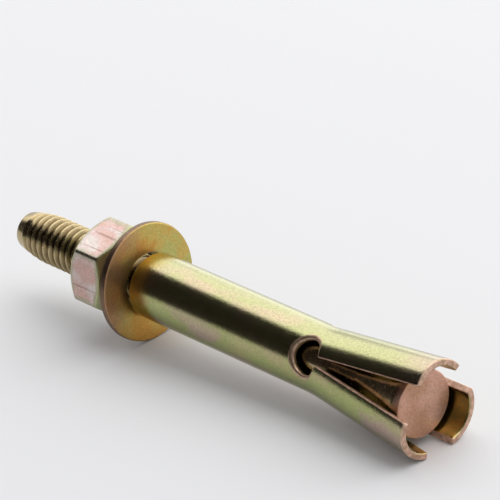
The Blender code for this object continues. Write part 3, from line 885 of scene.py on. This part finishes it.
class BOLT_OT_stud(bpy.types.Operator):
    """Makes the threaded stud with its cone head"""

    bl_idname = "bolt.stud"
    bl_label = "Threaded stud"

    def execute(self, context):
        settings = context.scene.bolt_stud
        piece = make_piece("threaded_stud", stud_grids(settings), bolt_matrix(), stud_material(settings))
        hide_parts("stud_bolt")
        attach(piece, "stud")
        return {"FINISHED"}


class BOLT_OT_washer(bpy.types.Operator):
    """Makes the loose washer"""

    bl_idname = "bolt.washer"
    bl_label = "Loose washer"

    def execute(self, context):
        settings = context.scene.bolt_washer
        matrix = frame_matrix(WASHER_NORMAL, WASHER_MIDDLE, 0.0)
        piece = make_piece("loose_washer", washer_grids(settings), matrix, washer_material(settings))
        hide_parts("flat_washer")
        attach(piece, "washer")
        return {"FINISHED"}


class BOLT_OT_nut(bpy.types.Operator):
    """Makes the hexagon nut"""

    bl_idname = "bolt.nut"
    bl_label = "Hexagon nut"

    def execute(self, context):
        settings = context.scene.bolt_nut
        matrix = frame_matrix(BOLT_AXIS, NUT_MIDDLE, context.scene.bolt_place.roll)
        piece = make_piece("hexagon_nut", nut_grids(settings), matrix, nut_material(settings), 60.0)
        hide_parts("hex_nut")
        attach(piece, "nut")
        return {"FINISHED"}


def plain_material(name, tint, roughness):
    """A matt material in one colour, for the stage."""
    made = bpy.data.materials.new(name)
    made.use_nodes = True
    shader = made.node_tree.nodes["Principled BSDF"]
    shader.inputs["Base Color"].default_value = (*tint, 1.0)
    shader.inputs["Roughness"].default_value = roughness
    shader.inputs["Specular IOR Level"].default_value = 0.2
    return made


def stage_sheet(name, points, material):
    """A stage surface from one grid of points."""
    made = grid(points)
    mesh = bpy.data.meshes.new(name)
    mesh.from_pydata(made["points"].tolist(), [], made["faces"].tolist())
    mesh.materials.append(material)
    sheet = bpy.data.objects.new(name, mesh)
    bpy.context.scene.collection.objects.link(sheet)
    return sheet


def area_light(name, place, aim, size, level):
    """A rectangular light whose face shows at the given level: its power is level times pi times its area."""
    light = bpy.data.lights.new(name, "AREA")
    light.shape = "RECTANGLE"
    light.size, light.size_y = size
    light.energy = level * math.pi * size[0] * size[1]
    made = bpy.data.objects.new(name, light)
    made.location = place
    made.rotation_euler = (Vector(aim) - Vector(place)).to_track_quat("-Z", "Y").to_euler()
    made.visible_camera = False
    bpy.context.scene.collection.objects.link(made)
    return made


class BOLT_OT_stage(bpy.types.Operator):
    """Makes the floor, the lights, the room and the camera"""

    bl_idname = "bolt.stage"
    bl_label = "Stage"

    def execute(self, context):
        scene = context.scene
        settings = scene.bolt_stage
        side = np.linspace(-FLOOR_HALF, FLOOR_HALF, 3)
        x, y = np.meshgrid(side, side, indexing="ij")
        stage_sheet("floor", np.stack([x, y, 0 * x], -1), plain_material("floor_paper", settings.floor, 0.9))
        turn = np.linspace(0.0, math.pi / 2, 24)[None]
        x = np.array([CARD_ENDS]).T
        y = CARD_Y - CARD_RADIUS * np.cos(turn) + 0 * x
        z = CARD_Z + CARD_RADIUS * np.sin(turn) + 0 * x
        curve = np.stack([x + 0 * turn, y, z], -1)
        card = stage_sheet("dark_card", curve, plain_material("dark_cloth", (0.022, 0.017, 0.017), 1.0))
        card.visible_camera = False
        card.visible_diffuse = False
        card.visible_transmission = False
        card.visible_shadow = False
        for name, place, aim, size, level in LIGHTS:
            area_light(name, place, aim, size, getattr(settings, level))
        world = bpy.data.worlds.new("room")
        scene.world = world
        world.use_nodes = True
        nodes = world.node_tree.nodes
        nodes.clear()
        path = add(nodes, "ShaderNodeLightPath").outputs
        seen = math_node(nodes, "MAXIMUM", path["Is Camera Ray"], path["Is Glossy Ray"])
        seen = math_node(nodes, "MAXIMUM", seen, path["Is Transmission Ray"])
        level = between(nodes, seen, 0.0, 1.0, settings.fill_level, 1.0)
        room = add(nodes, "ShaderNodeBackground", {"Color": (*settings.backdrop, 1.0), "Strength": level})
        add(nodes, "ShaderNodeOutputWorld", {"Surface": room.outputs[0]})
        camera = bpy.data.cameras.new("camera")
        camera.sensor_width = 36.0
        camera.lens = settings.lens
        camera.clip_start, camera.clip_end = 0.01, 20.0
        holder = bpy.data.objects.new("camera", camera)
        ahead = Vector(settings.camera_aim).normalized()
        right = Vector(settings.camera_right)
        right = (right - ahead * right.dot(ahead)).normalized()
        matrix = Matrix((right, right.cross(ahead), -ahead)).transposed().to_4x4()
        matrix.translation = settings.camera_place
        holder.matrix_world = matrix
        scene.collection.objects.link(holder)
        scene.camera = holder
        scene.view_settings.view_transform = "Standard"
        return {"FINISHED"}


OPERATORS = (BOLT_OT_sleeve, BOLT_OT_stud, BOLT_OT_washer, BOLT_OT_nut, BOLT_OT_stage)
GROUPS = {
    "bolt_place": BoltPlace,
    "bolt_sleeve": SleeveSettings,
    "bolt_stud": StudSettings,
    "bolt_washer": WasherSettings,
    "bolt_nut": NutSettings,
    "bolt_stage": StageSettings,
}


class BOLT_PT_panel(bpy.types.Panel):
    """Lists the bolt's pieces with their sizes and colours"""

    bl_label = "Expansion bolt"
    bl_space_type = "VIEW_3D"
    bl_region_type = "UI"
    bl_category = "Bolt"

    def draw(self, context):
        layout = self.layout
        for operator in OPERATORS:
            layout.operator(operator.bl_idname)
        for name, group in GROUPS.items():
            box = layout.box()
            box.label(text=name.replace("_", " ").capitalize())
            for key in group.__annotations__:
                box.prop(getattr(context.scene, name), key)


def register():
    for group in (*GROUPS.values(), *OPERATORS, BOLT_PT_panel):
        bpy.utils.register_class(group)
    for name, group in GROUPS.items():
        setattr(bpy.types.Scene, name, PointerProperty(type=group))


def unregister():
    for name in GROUPS:
        delattr(bpy.types.Scene, name)
    for group in reversed((*GROUPS.values(), *OPERATORS, BOLT_PT_panel)):
        bpy.utils.unregister_class(group)


def main():
    register()
    bpy.ops.bolt.sleeve()
    bpy.ops.bolt.stud()
    bpy.ops.bolt.washer()
    bpy.ops.bolt.nut()
    bpy.ops.bolt.stage()


if __name__ == "__main__":
    main()
